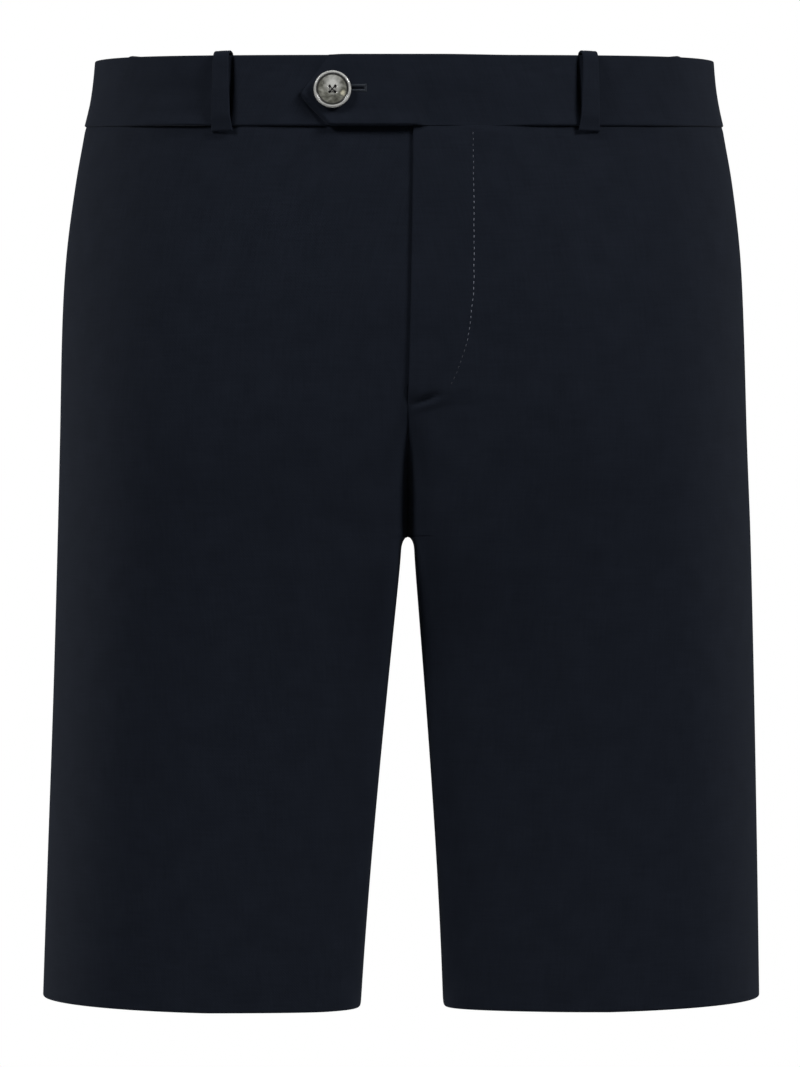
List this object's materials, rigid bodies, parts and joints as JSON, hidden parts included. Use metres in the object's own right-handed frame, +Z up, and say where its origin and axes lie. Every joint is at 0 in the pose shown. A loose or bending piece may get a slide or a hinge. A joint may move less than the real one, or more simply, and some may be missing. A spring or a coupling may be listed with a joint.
{
  "type": "bermuda shorts",
  "caption": "Knee-length tailored shorts, filled out as if worn and hollow, with a waistband, pointed buttoned tab, belt loops, fly front and turned-up hems.",
  "frame": {"origin": "middle of the waist opening, level with the waistband's seam at the centre front, where the garment is held", "axes": "+Z up through the waist opening, -Y towards the front with the fly, +X towards the wearer's left"},
  "size_m": [0.3932, 0.261, 0.5275],
  "materials": {
    "cloth": "smooth fine twill suiting, very dark navy, low sheen",
    "horn": "polished horn-look resin, mottled grey"
  },
  "bodies": {
    "root": {"front_right": "cloth", "front_left": "cloth", "back_right": "cloth", "back_left": "cloth", "waistband_right": "cloth", "waistband_left": "cloth", "belt_loop_front_right": "cloth", "belt_loop_front_left": "cloth", "belt_loop_side_right": "cloth", "belt_loop_side_left": "cloth", "belt_loop_back": "cloth", "button": "horn"}
  },
  "joints": []
}
